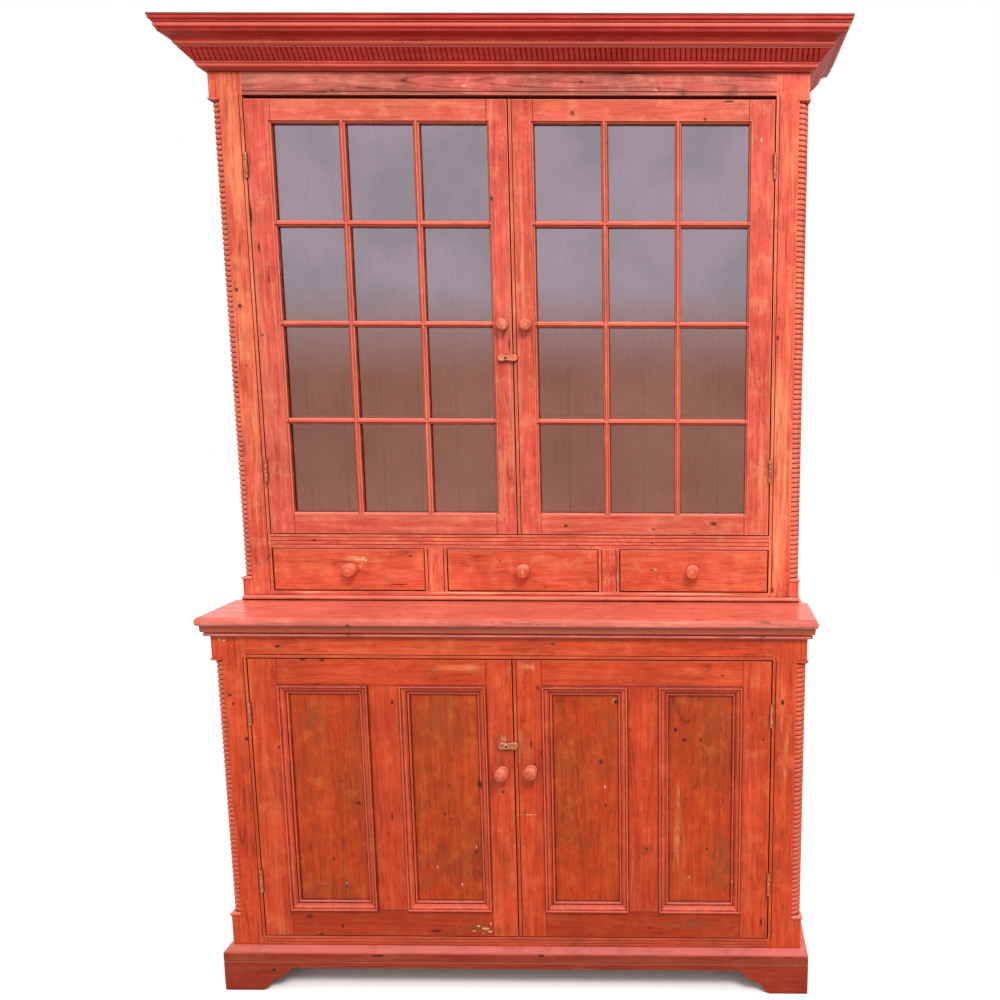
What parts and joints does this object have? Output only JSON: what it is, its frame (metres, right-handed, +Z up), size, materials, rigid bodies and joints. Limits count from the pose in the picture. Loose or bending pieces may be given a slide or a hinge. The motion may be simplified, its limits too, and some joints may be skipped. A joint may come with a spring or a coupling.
{
  "type": "step back cupboard",
  "caption": "Tall painted wooden step back cupboard: glazed doors over a row of small drawers, set back on a deeper base with panelled doors, moulded cornice and bracket feet.",
  "frame": {"origin": "middle of the bounding box on the floor plane", "axes": "+Z up, the front looks along -Y, +X to the viewer's right"},
  "size_m": [1.4526, 0.3732, 2.13],
  "materials": {
    "upper_paint": "worn red paint over pine",
    "lower_paint": "worn red paint over pine",
    "cornice_paint": "satin red paint",
    "upper_door_paint": "worn red paint over pine",
    "lower_door_paint": "worn red paint over pine",
    "inside_boards": "thin red brown wash",
    "base_paint": "worn red paint over pine",
    "pane_glass": "old clear glass",
    "hinge_iron": "painted with the case",
    "turned_wood": "worn paint, rubbed by hands"
  },
  "bodies": {
    "case": {"upper_side_left": "upper_paint", "upper_side_right": "upper_paint", "upper_stile_left": "upper_paint", "upper_stile_right": "upper_paint", "upper_top_rail": "upper_paint", "drawer_deck": "upper_paint", "upper_bottom_board": "upper_paint", "drawer_divider_left": "upper_paint", "drawer_divider_right": "upper_paint", "lower_side_left": "lower_paint", "lower_side_right": "lower_paint", "lower_stile_left": "lower_paint", "lower_stile_right": "lower_paint", "lower_top_rail": "lower_paint", "lower_bottom_board": "lower_paint", "counter_top": "lower_paint", "cornice_front": "cornice_paint", "cornice_left": "cornice_paint", "cornice_right": "cornice_paint", "upper_top_board": "inside_boards", "upper_shelf_1": "inside_boards", "upper_shelf_2": "inside_boards", "upper_shelf_3": "inside_boards", "upper_backboards": "inside_boards", "lower_shelf": "inside_boards", "lower_backboards": "inside_boards", "base_front": "base_paint", "base_left": "base_paint", "base_right": "base_paint", "upper_left_hinge_top": "hinge_iron", "upper_left_hinge_bottom": "hinge_iron", "upper_right_hinge_top": "hinge_iron", "upper_right_hinge_bottom": "hinge_iron", "lower_left_hinge_top": "hinge_iron", "lower_left_hinge_bottom": "hinge_iron", "lower_right_hinge_top": "hinge_iron", "lower_right_hinge_bottom": "hinge_iron"},
    "upper_left_door": {"upper_left_door_sash": "upper_door_paint", "upper_left_door_glass": "pane_glass", "upper_left_door_knob": "turned_wood"},
    "upper_right_door": {"upper_right_door_sash": "upper_door_paint", "upper_right_door_glass": "pane_glass", "upper_right_door_knob": "turned_wood"},
    "lower_left_door": {"lower_left_door_frame": "lower_door_paint", "lower_left_door_inner_panel": "lower_door_paint", "lower_left_door_outer_panel": "lower_door_paint", "lower_left_door_knob": "turned_wood"},
    "lower_right_door": {"lower_right_door_frame": "lower_door_paint", "lower_right_door_inner_panel": "lower_door_paint", "lower_right_door_outer_panel": "lower_door_paint", "lower_right_door_knob": "turned_wood"},
    "left_drawer": {"drawer_left": "upper_paint", "drawer_left_knob": "turned_wood"},
    "middle_drawer": {"drawer_middle": "upper_paint", "drawer_middle_knob": "turned_wood"},
    "right_drawer": {"drawer_right": "upper_paint", "drawer_right_knob": "turned_wood"},
    "upper_button": {"upper_turn_button": "turned_wood"},
    "lower_button": {"lower_turn_button": "turned_wood"}
  },
  "joints": [
    {"name": "upper_left_door_hinge", "type": "hinge", "parent": "case", "child": "upper_left_door", "pos_m": [-0.5755, -0.01495, 1.513], "axis": [0, 0, -1], "range_deg": [0, 110]},
    {"name": "upper_right_door_hinge", "type": "hinge", "parent": "case", "child": "upper_right_door", "pos_m": [0.5755, -0.01495, 1.513], "axis": [0, 0, 1], "range_deg": [0, 110]},
    {"name": "lower_left_door_hinge", "type": "hinge", "parent": "case", "child": "lower_left_door", "pos_m": [-0.5755, -0.16195, 0.455], "axis": [0, 0, -1], "range_deg": [0, 110]},
    {"name": "lower_right_door_hinge", "type": "hinge", "parent": "case", "child": "lower_right_door", "pos_m": [0.5755, -0.16195, 0.455], "axis": [0, 0, 1], "range_deg": [0, 110]},
    {"name": "left_drawer_slide", "type": "slide", "parent": "case", "child": "left_drawer", "axis": [0, -1, 0], "range_m": [0, 0.12]},
    {"name": "middle_drawer_slide", "type": "slide", "parent": "case", "child": "middle_drawer", "axis": [0, -1, 0], "range_m": [0, 0.12]},
    {"name": "right_drawer_slide", "type": "slide", "parent": "case", "child": "right_drawer", "axis": [0, -1, 0], "range_m": [0, 0.12]},
    {"name": "upper_button_pivot", "type": "hinge", "parent": "upper_left_door", "child": "upper_button", "pos_m": [-0.0195, -0.01195, 1.439], "axis": [0, -1, 0], "range_deg": [-90, 90]},
    {"name": "lower_button_pivot", "type": "hinge", "parent": "lower_left_door", "child": "lower_button", "pos_m": [-0.0095, -0.15895, 0.588], "axis": [0, -1, 0], "range_deg": [-90, 90]}
  ]
}
